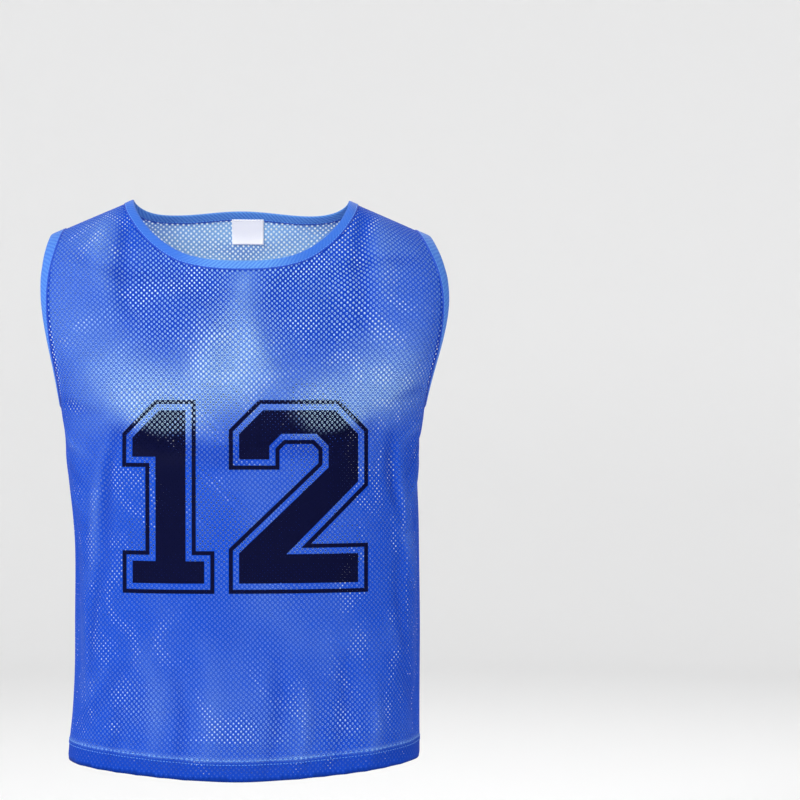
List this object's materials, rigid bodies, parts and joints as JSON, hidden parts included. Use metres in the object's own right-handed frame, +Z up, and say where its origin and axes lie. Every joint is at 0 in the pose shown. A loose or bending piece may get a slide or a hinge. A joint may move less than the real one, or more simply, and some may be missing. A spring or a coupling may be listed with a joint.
{
  "type": "mesh training bib",
  "caption": "Sleeveless net training bib for an adult, filled out as worn, with bound neck and armholes, a turned-up hem and a bare inside neck label.",
  "frame": {"origin": "where a wearer's shoulders carry the bib: on the centre plane, level with the highest points of the shoulder seams", "axes": "+Z up the wearer, -Y out of the wearer's chest, +X towards the viewer's right as the front is seen"},
  "size_m": [0.4828, 0.2335, 0.6945],
  "materials": {
    "net": "knitted polyester net, royal blue, soft sheen",
    "binding": "folded knitted tape, royal blue, matt",
    "label": "white woven satin label, bare"
  },
  "bodies": {
    "root": {"front_panel": "net", "back_panel": "net", "neck_binding": "binding", "armhole_binding_left": "binding", "armhole_binding_right": "binding", "neck_label": "label"}
  },
  "joints": []
}
